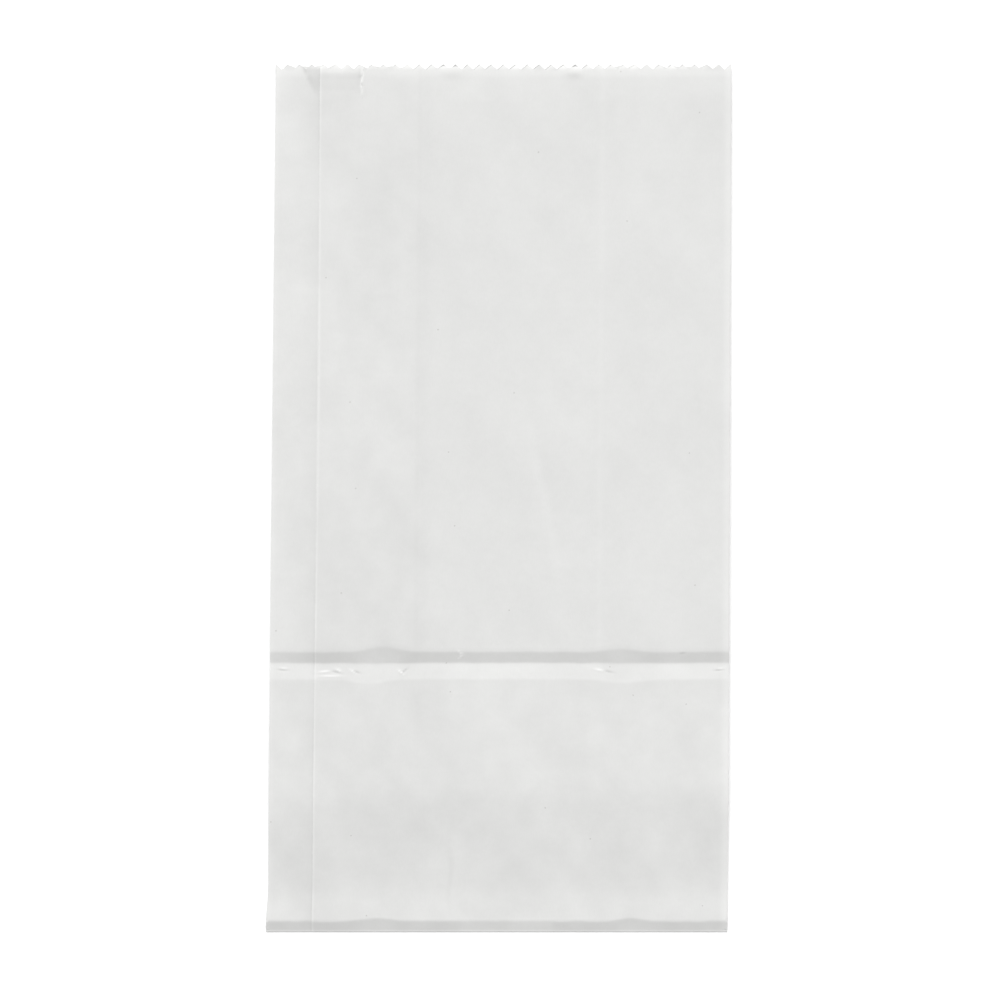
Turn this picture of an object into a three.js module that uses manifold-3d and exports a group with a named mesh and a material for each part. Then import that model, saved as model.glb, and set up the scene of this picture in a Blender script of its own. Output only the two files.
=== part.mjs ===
// A flat-folded white paper bag with gusseted sides and a self-opening square bottom.
//
// The bag is one sheet of paper: a tube closed by a glued lengthwise seam, its sides tucked in
// as gussets, its lower end folded into a square bottom. It lies as it is delivered, folded flat,
// with the seam face up and the bottom folded under the back panel.
//
// X runs across the bag, Y from the bottom crease to the serrated mouth, Z up from the table.
// Each panel of the sheet is a thin slab. Two panels that share a crease come together at it.

import * as THREE from "three";
import { mergeVertices } from "three/addons/utils/BufferGeometryUtils.js";
import Module from "manifold-3d";

// Driving dimensions, in millimetres
const bagWidth = 152;
const bagLength = 287; // bottom crease to the tips of the teeth
const bottomDepth = 92; // of the opened bottom; a gusset tucks in by half of it
const paper = 0.1; // thickness of the sheet

const toothPitch = 4; // of the saw-cut mouth and lips
const toothDepth = 1.7;

const seamInset = 14.8; // cut edge of the upper sheet, from the left side
const seamLap = 14; // width of the glued overlap under it
const tearInset = 29.4; // short tear in the mouth, from the left side
const tearLength = 9;
const tearWidth = 0.5;

const lipLap = 12; // how far each lip of the bottom passes the bottom's middle
const nest = 1.5; // how far an inner ply stops short of the fold around it
const nestedCrease = 0.6; // the same, where a crease lies inside another

// Heights of the seam face above the table
const foldHeight = 0.75; // just behind the bottom crease, where the sheet turns under
const foldReach = 0.35;
const rollHeight = 1.6; // at the end of the roll that the crease leaves
const rollLength = 3.3;
const lowStackHeight = 1.75; // over the triangular tucks only
const highStackHeight = 3.1; // over all the plies of the bottom
const bodyHeight = 2.8; // half way up the body
const mouthHeight = 1.6;
const mouthEdgeHeight = 1.2;
const grooveDepth = 0.85; // of the line pressed over the free edge of the bottom
const grooveFall = 4.4; // length of its side towards the mouth
const grooveRise = 6.4; // length of its side towards the bottom
const grooveSetback = 2.3; // the line, below that free edge
const middleSag = 0.3; // of the seam face between the gussets' inner creases
const sagReach = 6;

// Reach of a crease into the panels beside it
const edgeReach = 1.6; // along the outer edges
const innerReach = 3.5;

const halfWidth = bagWidth / 2;
const gussetDepth = bottomDepth / 2;
const innerCrease = halfWidth - gussetDepth; // half distance between the gussets' inner creases
const lipLength = gussetDepth + lipLap;
const lipEnd = halfWidth - lipLength; // half width of a lip's cut edge

const { clamp, inverseLerp, lerp } = THREE.MathUtils;
const point = (x, y) => new THREE.Vector2(x, y);
const fromSide = (x) => halfWidth - Math.abs(x);

// Straight lines through [position, value] pairs
function profile(pairs, at) {
  const next = pairs.findIndex(([position]) => position > at);
  if (next === -1) return pairs[pairs.length - 1][1];
  if (next === 0) return pairs[0][1];
  const [from, low] = pairs[next - 1];
  const [to, high] = pairs[next];
  return lerp(low, high, inverseLerp(from, to, at));
}

// Height of a panel that meets others at creases: its own away from them, a crease's on its line
function meeting(own, creases) {
  let sum = own;
  let weight = 1;
  for (const { distance, reach, height } of creases) {
    if (distance < 1e-4) return height;
    const pull = Math.max(0, reach / distance - 1);
    sum += pull * height;
    weight += pull;
  }
  return sum / weight;
}

function distanceToSegment(at, from, to) {
  const along = to.clone().sub(from);
  const share = clamp(at.clone().sub(from).dot(along) / along.lengthSq(), 0, 1);
  return at.distanceTo(from.clone().addScaledVector(along, share));
}

// Where along the bag the stack of plies changes
const grooveLine = bottomDepth - grooveSetback;
const stackStart = gussetDepth - 12; // the stack thins from the back panel's fold to here
const thinStackEnd = gussetDepth - 30;
const flapStart = grooveLine - grooveRise; // the bottom's plies close up to their free edge
const grooveEnd = grooveLine + grooveFall;
const bodyStart = bottomDepth + 9; // the back panel is down on the table from here
const bodyBend = (bottomDepth + bagLength) / 2;
const mouthBend = bagLength - 12;

const frontLine = [
  [0, paper],
  [foldReach, foldHeight],
  [rollLength, rollHeight],
  [thinStackEnd, lowStackHeight],
  [gussetDepth, highStackHeight],
  [grooveEnd, highStackHeight],
  [bodyBend, bodyHeight],
  [mouthBend, mouthHeight],
  [bagLength, mouthEdgeHeight],
];

// The pressed line has a round bottom and runs out softly both ways
function grooveDip(y) {
  const away = y - grooveLine;
  const turn = Math.min(1, Math.abs(away) / (away < 0 ? grooveRise : grooveFall));
  return (grooveDepth * (1 + Math.cos(Math.PI * turn))) / 2;
}

// The seam face hangs a little between the gussets that carry it
function sag(x, y) {
  const between = clamp((innerCrease - Math.abs(x)) / sagReach, 0, 1);
  const along = [
    [thinStackEnd, 0],
    [gussetDepth, middleSag / 2],
    [flapStart, middleSag / 2],
    [bodyStart, middleSag],
    [mouthBend, middleSag],
    [bagLength, 0],
  ];
  return between * profile(along, y);
}

const frontHeight = (x, y) => profile(frontLine, y) - grooveDip(y) - sag(x, y);

// What the plies between lie on: the glued bottom, then the table
const bed = [
  [flapStart, 4.5 * paper],
  [bodyStart, paper / 2],
];
const share = (pairs) => (x, y) => lerp(profile(bed, y), frontHeight(x, y), profile(pairs, y));

const bodyPlies = 3; // gaps between back panel and seam face, up the body
const flapPlies = 7; // gaps over the bottom
const gussetFrontOwn = share([
  [stackStart, 2 / 3],
  [gussetDepth, 6 / flapPlies],
  [flapStart, 6 / flapPlies],
  [bodyStart, 2 / bodyPlies],
]);
const gussetBackOwn = share([
  [flapStart, 5 / flapPlies],
  [bodyStart, 1 / bodyPlies],
]);
const backOwn = share([
  [flapStart, 4 / flapPlies],
  [bodyStart, 0],
]);
const backCreaseHeight = (x) =>
  lerp(profile(bed, 0), frontHeight(x, gussetDepth), 3.5 / flapPlies);

// The part of the back panel that is folded back under it, down to the bottom's free edge
function returnOwn(x, y) {
  const stacked = lerp(profile(bed, 0), frontHeight(x, y), 3 / flapPlies);
  const closed = 6 * paper;
  if (y > bottomDepth - nest) {
    return lerp(closed, 1.5 * paper, inverseLerp(bottomDepth - nest, bottomDepth, y));
  }
  const closing = clamp(inverseLerp(flapStart, bottomDepth - nest, y), 0, 1);
  return lerp(stacked, closed, closing);
}
const tuckAt = [
  [stackStart, 1 / 3],
  [gussetDepth, 1 / flapPlies],
];
function tuckOwn(x, y) {
  if (y <= gussetDepth) return share(tuckAt)(x, y);
  return lerp(profile(bed, 0), returnOwn(x, y), 1 / 3);
}
const cornerOwn = (x, y) => lerp(profile(bed, 0), returnOwn(x, y), 2 / 3);

// Crease lines of one side of the bag, by distance from its edge, and their heights
const apex = point(gussetDepth, gussetDepth);
const bottomCorner = point(0, 0);
const flapCorner = point(0, bottomDepth);
const mouthEnd = point(gussetDepth, bagLength);

const leaving = (x, distance, height) =>
  lerp(backCreaseHeight(x), height, clamp(distance / innerReach, 0, 1));
const middle = (first, second) => (x, y) => (first(x, y) + second(x, y)) / 2;
const creases = {
  frontEdge: (x, y) => ({
    distance: fromSide(x),
    reach: edgeReach,
    height: middle(frontHeight, gussetFrontOwn)(x, y),
  }),
  backEdge: (x, y) => ({
    distance: fromSide(x),
    reach: edgeReach,
    height: leaving(x, y - gussetDepth, middle(gussetBackOwn, backOwn)(x, y)),
  }),
  returnEdge: (x, y) => ({
    distance: fromSide(x),
    reach: edgeReach,
    height: leaving(x, y - gussetDepth, middle(returnOwn, cornerOwn)(x, y)),
  }),
  tuckEdge: (x) => ({ distance: fromSide(x), reach: edgeReach, height: 3.5 * paper }),
  inner: (x, y) => ({
    distance: distanceToSegment(point(fromSide(x), y), apex, mouthEnd),
    reach: innerReach,
    height: leaving(x, y - gussetDepth, middle(gussetFrontOwn, gussetBackOwn)(x, y)),
  }),
  lowerDiagonal: (x, y) => ({
    distance: distanceToSegment(point(fromSide(x), y), bottomCorner, apex),
    reach: innerReach,
    height: middle(tuckOwn, gussetFrontOwn)(x, Math.min(y, gussetDepth)),
  }),
  upperDiagonal: (x, y) => ({
    distance: distanceToSegment(point(fromSide(x), y), apex, flapCorner),
    reach: innerReach,
    height: leaving(x, y - gussetDepth, middle(tuckOwn, cornerOwn)(x, y)),
  }),
  gussetFold: (x, y) => ({
    distance: y - gussetDepth,
    reach: innerReach,
    height: backCreaseHeight(x),
  }),
  backFold: (x, y) => ({
    distance: y - gussetDepth - nestedCrease,
    reach: innerReach,
    height: backCreaseHeight(x),
  }),
};
const panelHeight = (own, names) => (x, y) =>
  meeting(
    own(x, y),
    names.map((name) => creases[name](x, y)),
  );

// Vertical planes that divide a slab, each as { normal, offset }
const acrossAt = (y) => ({ normal: point(0, 1), offset: y });
const alongAt = (x) => ({ normal: point(1, 0), offset: x });
const lowerSlant = (side) => ({
  normal: point(side, 1),
  offset: halfWidth + innerReach * Math.SQRT2,
});
const upperSlant = (side) => ({
  normal: point(side, -1),
  offset: halfWidth - bottomDepth + innerReach * Math.SQRT2,
});
const bothSides = (build) => [1, -1].map(build);
const besideEdges = [edgeReach, edgeReach / 2].flatMap((reach) =>
  bothSides((side) => alongAt(side * (halfWidth - reach))),
);
const besideInner = (side) => alongAt(side * (innerCrease + innerReach));
const besideSag = [innerCrease, innerCrease - sagReach].flatMap((x) =>
  bothSides((side) => alongAt(side * x)),
);
const lowStations = [rollLength, thinStackEnd, stackStart].map(acrossAt);
const foldStations = [gussetDepth, gussetDepth + innerReach].map(acrossAt);
const grooveStations = [-1, -2 / 3, -1 / 3, 0, 1 / 3, 2 / 3, 1].map((turn) =>
  acrossAt(grooveLine + turn * (turn < 0 ? grooveRise : grooveFall)),
);
const flapStations = [flapStart, grooveLine].map(acrossAt);
const bodyStations = [grooveEnd, bodyStart, bodyBend, mouthBend].map(acrossAt);

// The part of a convex outline on one side of a plane
function kept(outline, { normal, offset }, sign) {
  const depths = outline.map((corner) => {
    const depth = sign * (normal.dot(corner) - offset);
    return Math.abs(depth) < 1e-4 ? 0 : depth;
  });
  const out = [];
  outline.forEach((corner, i) => {
    const j = (i + 1) % outline.length;
    if (depths[i] >= 0) out.push(corner);
    if (depths[i] * depths[j] < 0) {
      out.push(crossing(corner, outline[j], Math.abs(depths[i]), Math.abs(depths[j])));
    }
  });
  return Math.max(...depths) > 0 ? out : [];
}

// The same point whichever end of an edge comes first, so that neighbours stay joined
function crossing(a, b, depthA, depthB) {
  const forward = a.x - b.x || a.y - b.y;
  return forward > 0
    ? a.clone().lerp(b, depthA / (depthA + depthB))
    : b.clone().lerp(a, depthB / (depthA + depthB));
}

const wasm = await Module();
wasm.setup();
const joined = (solids) => solids.reduce((sum, solid) => sum.add(solid));

// An outline one paper thick, with each corner moved to a height
function prism(outline, height, thickness) {
  const geometry = new THREE.ExtrudeGeometry(new THREE.Shape(outline), {
    depth: thickness,
    bevelEnabled: false,
  });
  geometry.deleteAttribute("normal");
  geometry.deleteAttribute("uv");
  const position = geometry.attributes.position;
  for (let i = 0; i < position.count; i++) {
    const base = height(position.getX(i), position.getY(i)) - thickness / 2;
    position.setZ(i, base + position.getZ(i));
  }
  const merged = mergeVertices(geometry, 1e-4);
  const vertProperties = merged.attributes.position.array;
  const triVerts = new Uint32Array(merged.index.array);
  return new wasm.Manifold(new wasm.Mesh({ numProp: 3, vertProperties, triVerts }));
}

// A panel of the sheet: a convex outline, divided at the planes so that it can bend there
function slab(outline, planes, height, thickness = paper) {
  let cells = [outline];
  for (const plane of planes) {
    cells = cells.flatMap((cell) => [kept(cell, plane, 1), kept(cell, plane, -1)]);
    cells = cells.filter((cell) => cell.length > 2);
  }
  return joined(cells.map((cell) => prism(cell, height, thickness)));
}

const rectangle = (left, right, low, high) => [
  point(left, low),
  point(right, low),
  point(right, high),
  point(left, high),
];
// An outline given for the right side of the bag, on either side in the same direction of travel
const onSide = (side, outline) =>
  side > 0 ? outline : outline.map(({ x, y }) => point(-x, y)).reverse();

// Saw-cut edge from right to left: tips on edgeY, roots set back by the tooth depth
function teeth(left, right, edgeY) {
  const step = toothPitch / 2;
  const height = (x) => {
    const phase = Math.abs((x / toothPitch) % 1) * 2;
    return edgeY - toothDepth * Math.min(phase, 2 - phase);
  };
  const inside = [];
  for (let k = Math.ceil(left / step); k * step < right; k++) {
    if (k * step > left) inside.push(point(k * step, height(k * step)));
  }
  return [point(left, height(left)), ...inside, point(right, height(right))].reverse();
}

function seamFace() {
  const planes = [
    ...besideEdges,
    ...besideSag,
    acrossAt(foldReach),
    ...lowStations,
    acrossAt(gussetDepth),
    ...grooveStations,
    ...bodyStations,
  ];
  const cutEdge = -halfWidth + seamInset;
  const upper = slab(
    rectangle(cutEdge, halfWidth, 0, bagLength),
    planes,
    panelHeight(frontHeight, ["frontEdge"]),
  );
  const pressed = (y) => 0.9 * paper * clamp(y / rollLength, 0, 1); // glued plies sit close
  const lower = slab(
    rectangle(-halfWidth, cutEdge + seamLap, 0, bagLength),
    planes,
    panelHeight((x, y) => frontHeight(x, y) - pressed(y), ["frontEdge"]),
  );
  return joined([upper.subtract(tear()), lower]);
}

// A narrow open tear that runs in from the mouth
function tear() {
  const x = -halfWidth + tearInset;
  const outline = [
    point(x, bagLength - tearLength),
    point(x + tearWidth, bagLength),
    point(x - tearWidth, bagLength),
  ];
  return slab(outline, [], () => 0, 4 * highStackHeight);
}

function backPanel() {
  const low = gussetDepth + nestedCrease;
  return slab(
    rectangle(-halfWidth, halfWidth, low, bagLength),
    [...besideEdges, ...foldStations, ...flapStations, ...bodyStations],
    panelHeight(backOwn, ["backEdge", "backFold"]),
  );
}

function returnPanel() {
  return slab(
    rectangle(-halfWidth, halfWidth, gussetDepth + nestedCrease, bottomDepth),
    [...besideEdges, ...foldStations, ...flapStations, acrossAt(bottomDepth - nest)],
    panelHeight(returnOwn, ["returnEdge", "backFold"]),
  );
}

// Half of a gusset that lies under the seam face, with its corner below the diagonal crease
function gussetFrontHalf(side) {
  const outline = [
    point(halfWidth - nest, nest),
    point(halfWidth, nest),
    point(halfWidth, bagLength),
    point(innerCrease, bagLength),
    point(innerCrease, gussetDepth),
  ];
  return slab(
    onSide(side, outline),
    [
      ...besideEdges,
      besideInner(side),
      ...lowStations,
      acrossAt(gussetDepth),
      ...grooveStations,
      ...bodyStations,
      lowerSlant(side),
    ],
    panelHeight(gussetFrontOwn, ["frontEdge", "inner", "lowerDiagonal"]),
  );
}

function gussetBackHalf(side) {
  return slab(
    onSide(side, rectangle(innerCrease, halfWidth, gussetDepth, bagLength)),
    [
      ...besideEdges,
      besideInner(side),
      ...foldStations,
      ...flapStations,
      ...bodyStations,
    ],
    panelHeight(gussetBackOwn, ["backEdge", "inner", "gussetFold"]),
  );
}

// The gusset's corner that folds back with the back panel
function gussetCorner(side) {
  const outline = [
    point(innerCrease, gussetDepth),
    point(halfWidth, gussetDepth),
    point(halfWidth, bottomDepth - nest),
    point(halfWidth - nest, bottomDepth - nest),
  ];
  return slab(
    onSide(side, outline),
    [...besideEdges, ...foldStations, ...flapStations, upperSlant(side)],
    panelHeight(cornerOwn, ["returnEdge", "upperDiagonal", "gussetFold"]),
  );
}

// The triangle between the gusset's two diagonals, hinged to the bottom along its side
function gussetTuck(side) {
  const outline = [
    point(halfWidth - nest, nest),
    point(halfWidth, nest),
    point(halfWidth, bottomDepth - nest),
    point(halfWidth - nest, bottomDepth - nest),
    point(innerCrease, gussetDepth),
  ];
  return slab(
    onSide(side, outline),
    [
      ...besideEdges,
      ...lowStations,
      ...foldStations,
      ...flapStations,
      lowerSlant(side),
      upperSlant(side),
    ],
    panelHeight(tuckOwn, ["tuckEdge", "lowerDiagonal", "upperDiagonal"]),
  );
}

// A glued ply of the bottom, between two counts of paper above the table
const ply = (outline, from, to) =>
  slab(outline, [], () => ((from + to) / 2) * paper, (to - from) * paper);

// The two lips that close the bottom, with their folded corners and the side flaps under them
function bottomPlies() {
  const lip = [
    point(-halfWidth, 0),
    point(halfWidth, 0),
    ...teeth(-lipEnd, lipEnd, lipLength),
  ];
  const corner = [
    point(lipEnd, nest),
    point(halfWidth - nest, nest),
    point(innerCrease, gussetDepth),
    point(lipEnd, gussetDepth),
  ];
  const sideFlap = rectangle(lipEnd, halfWidth, nest, bottomDepth - nest);
  const fromFreeEdge = (outline) =>
    outline.map(({ x, y }) => point(x, bottomDepth - y)).reverse();
  return joined([
    ply(lip, 0, 1),
    ply(fromFreeEdge(lip), 1, 2),
    ...bothSides((side) => ply(onSide(side, corner), 1, 3)),
    ...bothSides((side) => ply(fromFreeEdge(onSide(side, corner)), 2, 3)),
    ...bothSides((side) => ply(onSide(side, sideFlap), 3, 4)),
  ]);
}

// What the saw takes off the mouth, through all its plies
function sawnOff() {
  const beyond = bagWidth;
  const outline = [
    ...teeth(-beyond, beyond, bagLength).reverse(),
    point(beyond, bagLength + toothPitch),
    point(-beyond, bagLength + toothPitch),
  ];
  return slab(outline, [], () => 0, 4 * highStackHeight);
}

const sheet = joined([
  bottomPlies(),
  ...bothSides(gussetTuck),
  ...bothSides(gussetCorner),
  returnPanel(),
  backPanel(),
  ...bothSides(gussetBackHalf),
  ...bothSides(gussetFrontHalf),
  seamFace(),
]).subtract(sawnOff());

function meshOf(solid, name, material) {
  const { vertProperties, triVerts, numProp } = solid.getMesh();
  const geometry = new THREE.BufferGeometry();
  const positions = new Float32Array((vertProperties.length / numProp) * 3);
  for (let i = 0; i * numProp < vertProperties.length; i++) {
    positions.set(vertProperties.slice(i * numProp, i * numProp + 3), i * 3);
  }
  geometry.setAttribute("position", new THREE.BufferAttribute(positions, 3));
  geometry.setIndex(new THREE.BufferAttribute(new Uint32Array(triVerts), 1));
  geometry.computeVertexNormals();
  const mesh = new THREE.Mesh(geometry, material);
  mesh.name = name;
  return mesh;
}

const whitePaper = new THREE.MeshStandardMaterial({
  color: new THREE.Color("#e6e6e4"),
  roughness: 0.62,
  metalness: 0,
});

const bag = new THREE.Group();
const sheetMesh = meshOf(sheet, "paper_bag", whitePaper);
sheetMesh.position.y = -bagLength / 2;
bag.add(sheetMesh);

export default bag;
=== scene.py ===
import math

import bmesh
import bpy
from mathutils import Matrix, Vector, noise


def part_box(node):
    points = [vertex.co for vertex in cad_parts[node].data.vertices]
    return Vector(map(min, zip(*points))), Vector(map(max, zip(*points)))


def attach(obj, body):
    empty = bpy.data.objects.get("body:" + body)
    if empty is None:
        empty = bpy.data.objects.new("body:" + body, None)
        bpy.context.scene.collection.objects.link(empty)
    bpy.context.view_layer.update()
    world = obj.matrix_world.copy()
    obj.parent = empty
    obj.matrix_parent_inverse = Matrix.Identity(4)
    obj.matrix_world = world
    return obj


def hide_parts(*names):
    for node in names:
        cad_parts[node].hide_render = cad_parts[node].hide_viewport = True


bl_info = {
    "name": "Popcorn Bag",
    "version": (1, 0, 0),
    "blender": (4, 5, 0),
    "location": "3D Viewport > Sidebar > Popcorn Bag",
    "description": "Builds a flat-folded white paper bag with gussets and a square bottom",
    "category": "Object",
}

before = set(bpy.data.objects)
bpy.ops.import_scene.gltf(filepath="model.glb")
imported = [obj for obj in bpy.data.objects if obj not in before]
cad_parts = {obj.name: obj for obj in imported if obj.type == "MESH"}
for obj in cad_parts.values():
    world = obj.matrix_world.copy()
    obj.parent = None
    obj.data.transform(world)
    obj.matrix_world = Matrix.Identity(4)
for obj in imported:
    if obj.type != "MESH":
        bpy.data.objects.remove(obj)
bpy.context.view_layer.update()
MM = 0.001

# The bag's coordinates in this file are in millimetres: x from its middle line, y from the bottom
# crease to the mouth, z from the table. place() takes them to the frame.
BAG_NODE = "paper_bag"
LOW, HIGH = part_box(BAG_NODE)
WIDTH = (HIGH.x - LOW.x) / MM
LENGTH = (HIGH.y - LOW.y) / MM


class BagSizes(bpy.types.PropertyGroup):
    """Sizes of the folded sheet, in millimetres"""

    bottom_depth: bpy.props.FloatProperty(
        name="Bottom depth", description="Depth of the opened bottom", default=92, min=60, max=120
    )
    paper: bpy.props.FloatProperty(
        name="Paper", description="Thickness of the sheet", default=0.1, min=0.05, max=0.2
    )
    tooth_pitch: bpy.props.FloatProperty(
        name="Tooth pitch", description="Spacing of the saw teeth", default=4, min=2, max=8
    )
    tooth_depth: bpy.props.FloatProperty(
        name="Tooth depth", description="Height of the saw teeth", default=1.7, min=0.5, max=4
    )
    lip_lap: bpy.props.FloatProperty(
        name="Lip lap", description="How far each lip passes the bottom's middle", default=12
    )
    seam_inset: bpy.props.FloatProperty(
        name="Seam inset", description="Cut edge of the seam from the left side", default=14.6
    )
    seam_lap: bpy.props.FloatProperty(
        name="Seam lap", description="Width of the glued overlap", default=14
    )
    tear_inset: bpy.props.FloatProperty(
        name="Tear inset", description="Tear in the mouth, from the left side", default=28.8
    )
    tear_length: bpy.props.FloatProperty(
        name="Tear length", description="How far the tear runs in", default=11
    )


class PaperLook(bpy.types.PropertyGroup):
    """Colours of the paper and the studio"""

    paper_color: bpy.props.FloatVectorProperty(
        name="Paper", description="Colour of the bleached paper", subtype="COLOR", size=4,
        default=(0.778, 0.779, 0.769, 1), min=0, max=1,
    )
    speck_color: bpy.props.FloatVectorProperty(
        name="Specks", description="Colour of the specks in the pulp", subtype="COLOR", size=4,
        default=(0.34, 0.33, 0.30, 1), min=0, max=1,
    )
    roughness: bpy.props.FloatProperty(
        name="Roughness", description="Roughness of the paper", default=0.62, min=0, max=1
    )
    floor_color: bpy.props.FloatVectorProperty(
        name="Floor", description="Colour of the floor", subtype="COLOR", size=4,
        default=(0.85, 0.85, 0.85, 1), min=0, max=1,
    )


def profile(pairs, at):
    """Straight lines through (position, value) pairs"""
    if at <= pairs[0][0]:
        return pairs[0][1]
    for (start, low), (end, high) in zip(pairs, pairs[1:]):
        if at <= end:
            return low + (high - low) * (at - start) / (end - start)
    return pairs[-1][1]


def rounded(pairs, at, reach):
    """The same lines with their corners rounded over a reach"""
    steps = [-1, -0.6, -0.2, 0.2, 0.6, 1]
    return sum(profile(pairs, at + step * reach) for step in steps) / len(steps)


def bump(at, middle, width):
    """A smooth hill of height 1"""
    return math.exp(-(((at - middle) / width) ** 2))


def step(at, start, end):
    """A smooth rise from 0 to 1"""
    t = min(1, max(0, (at - start) / (end - start)))
    return t * t * (3 - 2 * t)


def wave(x, y, size, seed):
    """Smooth noise between about -1 and 1"""
    return noise.noise(Vector((x / size, y / size, seed)))


class FoldedSheet:
    """Heights of the panels above the table, as functions of x and y"""

    # Over these distances the plies come together at the sides and at the tucked-in creases
    edge_reach = 0.6
    inner_reach = 3.5
    # Gap between the nested creases of the gussets and the back panel
    nested_crease = 0.6
    # The pressed line, from the free edge of the bottom
    groove_setback = 3.2
    # Top of the roll behind the bottom crease, and where the plies under it start to part
    roll_top = 3.6
    parting = 3.3
    # Rounding of the bends along the body
    softness = 2.5
    # Stretches before the mouth that are worn, and moved back to the saw cut
    worn_mouth = 16
    saw_band = 6
    # A column of points this near to a tooth's corner moves onto it
    saw_snap = 0.36
    # Crushed places: middle, half width, middle and half length below the mouth, and height
    dents = [(-17.6, 3.6, 2.6, 1.9, 0.22), (23.4, 2.6, 2.8, 1.7, 0.30)]
    # Teeth pressed flat there: middle and half width
    flat_teeth = [(-17.6, 3.6), (23.2, 2.6)]

    def __init__(self, sizes):
        self.paper = sizes.paper
        self.half = WIDTH / 2
        self.depth = sizes.bottom_depth
        self.gusset = self.depth / 2
        self.inner = self.half - self.gusset
        self.groove = self.depth - self.groove_setback
        self.cut_edge = -self.half + sizes.seam_inset
        self.seam_lap = sizes.seam_lap
        self.tear_x = -self.half + sizes.tear_inset
        self.tear_length = sizes.tear_length
        self.tear_end = LENGTH - sizes.tear_length
        self.lip = self.gusset + sizes.lip_lap
        self.lip_end = self.half - self.lip
        self.pitch = sizes.tooth_pitch
        self.tooth = sizes.tooth_depth
        # All of the folded bottom lies under the body up to stack_end, and none of it from thin_start on
        self.stack_end = self.groove - 6
        self.thin_start = self.depth + 9
        # The seam face along the bag, as (distance from the bottom crease, height)
        self.line = [
            (0, 0.17), (self.roll_top, 1.05), (12, 0.92), (15, 0.97), (self.gusset - 3, 2.75),
            (self.gusset, 2.85), (self.groove, 2.68), (LENGTH * 0.55, 2.6), (LENGTH - 12, 1.65),
            (LENGTH - 5, 1.42), (LENGTH - 1.9, 1.22), (LENGTH, 0.7),
        ]

    def from_side(self, x):
        return self.half - abs(x)

    def groove_at(self, x, y):
        """The pressed line over the free edge of the bottom"""
        wander = 0.25 * wave(x, 0, 22, 3.1) + 0.15 * wave(x, 0, 5, 5.3)
        across = y - self.groove - wander
        # It is wider beside the gussets' inner creases, and fades towards the sides
        if across > 0:
            across /= 1 + 0.55 * bump(x, -38.5, 7) + 0.35 * bump(x, 40, 6)
        else:
            across /= 1 + 0.28 * bump(x, -43, 6) + 0.22 * bump(x, 41, 7)
        fading = 1 - 0.28 * step(-x, 60, 72) - 0.3 * step(x, 71, 75)
        dip = [(-5.9, 0), (-1.3, -0.44), (-0.5, -0.49), (3.1, -0.05), (4.3, 0)]
        rise = [(-0.5, 0), (3.1, 0.38)]
        pressed = 0.3
        return rounded(dip, across, pressed) * fading + rounded(rise, across, pressed)

    def gusset_lines(self, x, y):
        """The seam face sags between the gussets' inner creases, which show through it"""
        drift = 0.8 * wave(y, 0, 60, 8.2)
        inside = step(x, -29.5 + drift, -23.5 + drift) * (1 - step(x, 29.6 + drift, 35.2 + drift))
        share = step(y, 0, 12) * (0.45 + 0.55 * step(y, self.groove - 4, self.groove + 6))
        ridge = 0.05 * bump(x, -30 + drift, 1.2) + 0.04 * bump(x, 35.4 + drift, 1.2)
        return (-0.26 * inside + ridge) * share

    def slanting_crease(self, x, y):
        """Strength of a soft crease that runs up the body, and the distance to its right"""
        start, length = 107, 78
        along = (y - start) / length
        if not 0 < along < 1:
            return 0, 0
        middle = 23.8 - 17 * along
        return math.sin(math.pi * along), x - middle

    def corner_fold(self, down):
        """The slanting line along which the mouth's left corner is folded over"""
        return -67.5 + 0.5 * down

    def mouth_at(self, x, y):
        """Wear along the mouth: a curl beside the tear, lifted and crushed places"""
        down = LENGTH - y
        if down > self.worn_mouth:
            return 0
        curl = step(x, self.cut_edge - 1, self.cut_edge + 1) * (1 - step(x, self.tear_x - 0.4, self.tear_x))
        curl *= rounded([(0, 0.20), (3.0, 0.36), (5.2, 0.18), (9, 0.03), (13, 0)], down, 0.2)
        fold = self.corner_fold(down)
        folded = 0.30 * step(x, fold - 0.6, fold + 0.4) * step(-x, 61.4, 61.6)
        folded *= 1 - step(x, fold + 1, fold + 7)
        folded *= step(-down, -13, -4)
        total = curl + folded
        for middle, width, below, reach, height in self.dents:
            total += height * bump(x, middle, width) * bump(down, below, reach)
        ripple = 0.10 * wave(x, down / 3, 9, 4.4) * step(-down, -14, 0)
        tooth_curl = 0.4 * wave(x, 0, 2.6, 5.9) * (1 - step(down, 0.2, 2.2))
        torn = 0.16 * math.exp(-abs(x - self.tear_x) / 1.4)
        torn *= step(-down, -self.tear_length - 0.5, 3 - self.tear_length)
        torn *= 1 if x > self.tear_x else -0.6
        return total + ripple + tooth_curl + torn

    def tone(self, x, y):
        """How pale the seam face is: painted highlights on its teeth, edges and lips, painted shade beside
        them and over the gussets' creases, a paler bottom crease, and the paper's own mottling
        """
        down = LENGTH - y
        # Painted shade and highlight along the gussets' inner creases, which show through above the pressed
        # line
        creases = -0.022 * bump(x, -27.9, 0.45) - 0.014 * bump(x, -26.0, 2.0) + 0.016 * bump(x, 33, 1.0)
        creases *= step(y, self.groove, self.groove + 8)
        # Painted highlights along both side edges
        creases += 0.06 * step(x, 72.8, 75.2) + 0.03 * step(-x, 74.2, 75.6)
        # Painted highlight on the tooth tips, which bend down towards the light; less of it near the sides
        tooth_highlight = 0.14 * (1 - step(down, 1.0, 2.2)) * (0.8 + 0.9 * wave(x, 0, 5, 1.3))
        tooth_highlight *= 1 - 0.8 * step(abs(x), 58, 70)
        # The bottom crease is paler over its last 0.9 mm
        worn = 0.12 * (1 - step(y, 0, 0.9))
        streak_and_crease_shade = -0.05 * bump(x, -15.9 + 1.2 * wave(y, 0, 9, 6.3), 0.9) * bump(y, 20, 11)
        strength, across = self.slanting_crease(x, y)
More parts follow.
